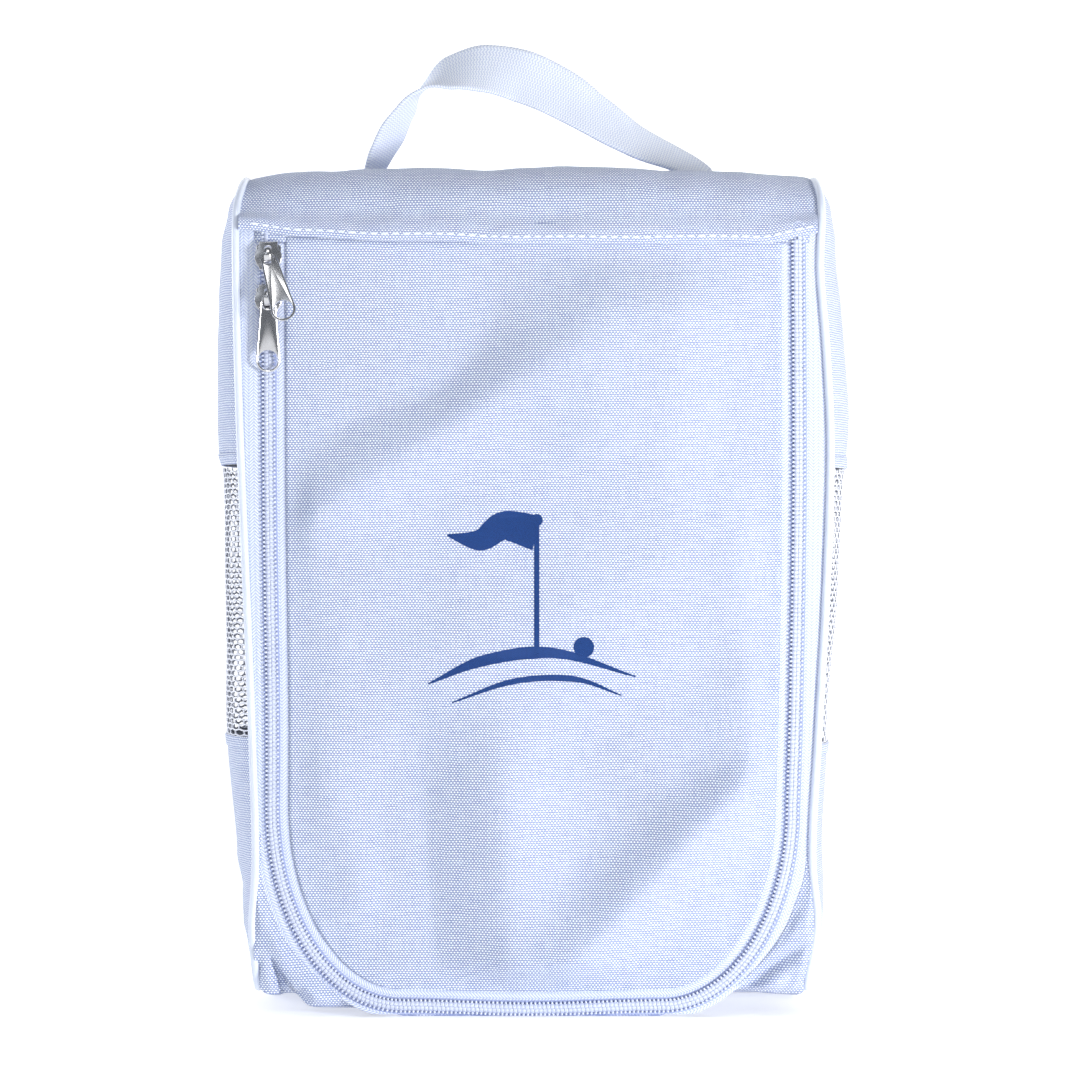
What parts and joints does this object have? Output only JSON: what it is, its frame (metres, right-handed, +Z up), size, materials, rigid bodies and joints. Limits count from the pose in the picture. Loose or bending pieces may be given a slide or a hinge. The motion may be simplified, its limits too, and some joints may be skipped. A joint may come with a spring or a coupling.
{
  "type": "shoe bag",
  "caption": "Upright rectangular golf shoe bag with a U-shaped double zip, a fold-up front flap, mesh side vents, piped edges and a webbing handle.",
  "frame": {"origin": "middle of the base, on the ground that the bag stands on", "axes": "+Z up, -Y out of the zipped front, +X to the right when looking at the front"},
  "size_m": [0.2692, 0.1389, 0.4155],
  "materials": {
    "cloth": "white plain-weave polyester",
    "mesh": "white warp-knit mesh",
    "piping": "smooth glossy",
    "core": "matte",
    "binding": "white woven tape",
    "tape": "white herringbone tape",
    "coil": "satin",
    "nickel": "polished nickel",
    "webbing": "white ribbed webbing"
  },
  "bodies": {
    "bag": {"top_panel": "cloth", "back_panel": "cloth", "bottom_panel": "cloth", "corner_patch_left": "cloth", "corner_patch_right": "cloth", "side_left_upper": "cloth", "side_left_mesh": "mesh", "side_left_lower": "cloth", "side_right_upper": "cloth", "side_right_mesh": "mesh", "side_right_lower": "cloth", "piping_left_cover": "piping", "piping_left_cord": "core", "piping_right_cover": "piping", "piping_right_cord": "core", "seam_binding_left": "binding", "seam_binding_right": "binding", "zip_tape_outer": "tape", "zip_coil_outer": "coil", "handle_end_left": "webbing", "handle_end_right": "webbing", "handle_patch": "binding"},
    "flap": {"flap_panel": "cloth", "flap_binding": "binding", "zip_tape_inner": "tape", "zip_coil_inner": "coil"},
    "upper_slider": {"slider_upper": "nickel"},
    "lower_slider": {"slider_lower": "nickel"},
    "upper_pull": {"pull_upper": "nickel"},
    "lower_pull": {"pull_lower": "nickel"},
    "handle": {"handle_strap": "webbing"}
  },
  "joints": [
    {"name": "flap_fold", "type": "hinge", "parent": "bag", "child": "flap", "pos_m": [0, -0.0635, 0.33], "axis": [-1, 0, 0], "range_deg": [0, 120]},
    {"name": "upper_slide", "type": "slide", "parent": "flap", "child": "upper_slider", "axis": [0, 0, -1], "range_m": [0, 0.005]},
    {"name": "lower_slide", "type": "slide", "parent": "flap", "child": "lower_slider", "axis": [0, 0, -1], "range_m": [0, 0.18]},
    {"name": "upper_pull_lift", "type": "hinge", "parent": "upper_slider", "child": "upper_pull", "pos_m": [-0.112, -0.065, 0.32365], "axis": [0.9563, 0, 0.2924], "range_deg": [-150, 0]},
    {"name": "lower_pull_lift", "type": "hinge", "parent": "lower_slider", "child": "lower_pull", "pos_m": [-0.112, -0.065, 0.30555], "axis": [1, 0, 0], "range_deg": [-150, 0]},
    {"name": "handle_swing", "type": "hinge", "parent": "bag", "child": "handle", "pos_m": [0, 0, 0.375], "axis": [1, 0, 0], "range_deg": [-85, 85]}
  ],
  "couplings": [
    {"joint": "upper_pull_lift", "follows": "lower_pull_lift", "ratio": 1}
  ]
}
